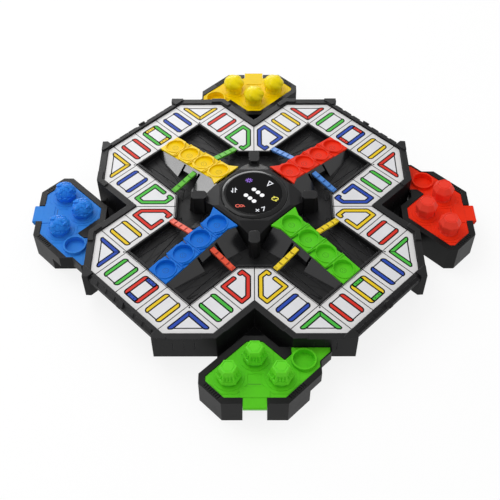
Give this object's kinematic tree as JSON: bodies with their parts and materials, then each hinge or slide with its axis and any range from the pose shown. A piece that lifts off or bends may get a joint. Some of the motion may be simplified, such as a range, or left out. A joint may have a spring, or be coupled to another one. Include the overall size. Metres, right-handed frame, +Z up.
{
  "type": "electronic ludo game",
  "caption": "Electronic ludo board on a cross plan, with a press-to-roll display hub, sloping home ramps and loose trays of playing pieces round it.",
  "frame": {"origin": "centre of the board, on the table it stands on", "axes": "+Z up; the arms of the board lie along X and Y, and the trays stand on the diagonals"},
  "size_m": [0.3624, 0.3624, 0.0584],
  "materials": {
    "black_housing": "satin moulded",
    "dark_housing": "glossy moulded",
    "white_plates": "smooth",
    "smoked_glass": "polished",
    "circuit_board": "solder mask",
    "component": "moulded",
    "steel": "plated",
    "foot_rubber": "matt",
    "blue_plastic": "smooth",
    "blue_piece": "moulded",
    "green_plastic": "smooth",
    "green_piece": "moulded",
    "red_plastic": "smooth",
    "red_piece": "moulded",
    "yellow_plastic": "smooth",
    "yellow_piece": "moulded"
  },
  "bodies": {
    "board": {"top_housing": "black_housing", "end_rails": "black_housing", "base_housing": "black_housing", "track_blue": "white_plates", "track_green": "white_plates", "track_red": "white_plates", "track_yellow": "white_plates", "marks_blue": "blue_plastic", "marks_green": "green_plastic", "marks_red": "red_plastic", "marks_yellow": "yellow_plastic", "ramp_carriers": "dark_housing", "ramp_blue": "blue_plastic", "ramp_green": "green_plastic", "ramp_red": "red_plastic", "ramp_yellow": "yellow_plastic", "bridges_blue": "blue_plastic", "bridges_green": "green_plastic", "bridges_red": "red_plastic", "bridges_yellow": "yellow_plastic", "hub_housing": "black_housing", "display_board": "circuit_board", "roll_switch": "component", "main_board": "circuit_board", "speaker": "component", "batteries": "steel", "battery_contacts": "steel", "screws": "steel", "feet": "foot_rubber"},
    "roll_button": {"button_ring": "dark_housing", "display_glass": "smoked_glass"},
    "power_switch": {"power_switch": "component"},
    "battery_cover": {"battery_cover": "black_housing"},
    "tray_blue": {"tray_blue": "black_housing", "insert_blue": "blue_plastic"},
    "pawn_blue_1": {"pawn_blue_1": "blue_piece"},
    "pawn_blue_2": {"pawn_blue_2": "blue_piece"},
    "pawn_blue_3": {"pawn_blue_3": "blue_piece"},
    "tray_green": {"tray_green": "black_housing", "insert_green": "green_plastic"},
    "pawn_green_1": {"pawn_green_1": "green_piece"},
    "pawn_green_2": {"pawn_green_2": "green_piece"},
    "pawn_green_3": {"pawn_green_3": "green_piece"},
    "tray_red": {"tray_red": "black_housing", "insert_red": "red_plastic"},
    "pawn_red_1": {"pawn_red_1": "red_piece"},
    "pawn_red_2": {"pawn_red_2": "red_piece"},
    "pawn_red_3": {"pawn_red_3": "red_piece"},
    "tray_yellow": {"tray_yellow": "black_housing", "insert_yellow": "yellow_plastic"},
    "pawn_yellow_1": {"pawn_yellow_1": "yellow_piece"},
    "pawn_yellow_2": {"pawn_yellow_2": "yellow_piece"},
    "pawn_yellow_3": {"pawn_yellow_3": "yellow_piece"}
  },
  "joints": [
    {"name": "roll_press", "type": "slide", "parent": "board", "child": "roll_button", "axis": [0, 0, 1], "range_m": [-0.0015, 0], "stiffness_N_per_m": 400, "springref_m": 0.002},
    {"name": "power_slide", "type": "slide", "parent": "board", "child": "power_switch", "axis": [0, 1, 0], "range_m": [0, 0.004]},
    {"name": "cover_off", "type": "slide", "parent": "board", "child": "battery_cover", "axis": [0, 0, -1], "range_m": [0, 0.03]},
    {"name": "tray_blue_away", "type": "slide", "parent": "board", "child": "tray_blue", "axis": [-0.7071, -0.7071, 0], "range_m": [0, 0.06]},
    {"name": "pawn_blue_1_lift", "type": "slide", "parent": "tray_blue", "child": "pawn_blue_1", "axis": [0, 0, 1], "range_m": [0, 0.03]},
    {"name": "pawn_blue_2_lift", "type": "slide", "parent": "tray_blue", "child": "pawn_blue_2", "axis": [0, 0, 1], "range_m": [0, 0.03]},
    {"name": "pawn_blue_3_lift", "type": "slide", "parent": "tray_blue", "child": "pawn_blue_3", "axis": [0, 0, 1], "range_m": [0, 0.03]},
    {"name": "tray_green_away", "type": "slide", "parent": "board", "child": "tray_green", "axis": [0.7071, -0.7071, 0], "range_m": [0, 0.06]},
    {"name": "pawn_green_1_lift", "type": "slide", "parent": "tray_green", "child": "pawn_green_1", "axis": [0, 0, 1], "range_m": [0, 0.03]},
    {"name": "pawn_green_2_lift", "type": "slide", "parent": "tray_green", "child": "pawn_green_2", "axis": [0, 0, 1], "range_m": [0, 0.03]},
    {"name": "pawn_green_3_lift", "type": "slide", "parent": "tray_green", "child": "pawn_green_3", "axis": [0, 0, 1], "range_m": [0, 0.03]},
    {"name": "tray_red_away", "type": "slide", "parent": "board", "child": "tray_red", "axis": [0.7071, 0.7071, 0], "range_m": [0, 0.06]},
    {"name": "pawn_red_1_lift", "type": "slide", "parent": "tray_red", "child": "pawn_red_1", "axis": [0, 0, 1], "range_m": [0, 0.03]},
    {"name": "pawn_red_2_lift", "type": "slide", "parent": "tray_red", "child": "pawn_red_2", "axis": [0, 0, 1], "range_m": [0, 0.03]},
    {"name": "pawn_red_3_lift", "type": "slide", "parent": "tray_red", "child": "pawn_red_3", "axis": [0, 0, 1], "range_m": [0, 0.03]},
    {"name": "tray_yellow_away", "type": "slide", "parent": "board", "child": "tray_yellow", "axis": [-0.7071, 0.7071, 0], "range_m": [0, 0.06]},
    {"name": "pawn_yellow_1_lift", "type": "slide", "parent": "tray_yellow", "child": "pawn_yellow_1", "axis": [0, 0, 1], "range_m": [0, 0.03]},
    {"name": "pawn_yellow_2_lift", "type": "slide", "parent": "tray_yellow", "child": "pawn_yellow_2", "axis": [0, 0, 1], "range_m": [0, 0.03]},
    {"name": "pawn_yellow_3_lift", "type": "slide", "parent": "tray_yellow", "child": "pawn_yellow_3", "axis": [0, 0, 1], "range_m": [0, 0.03]}
  ]
}
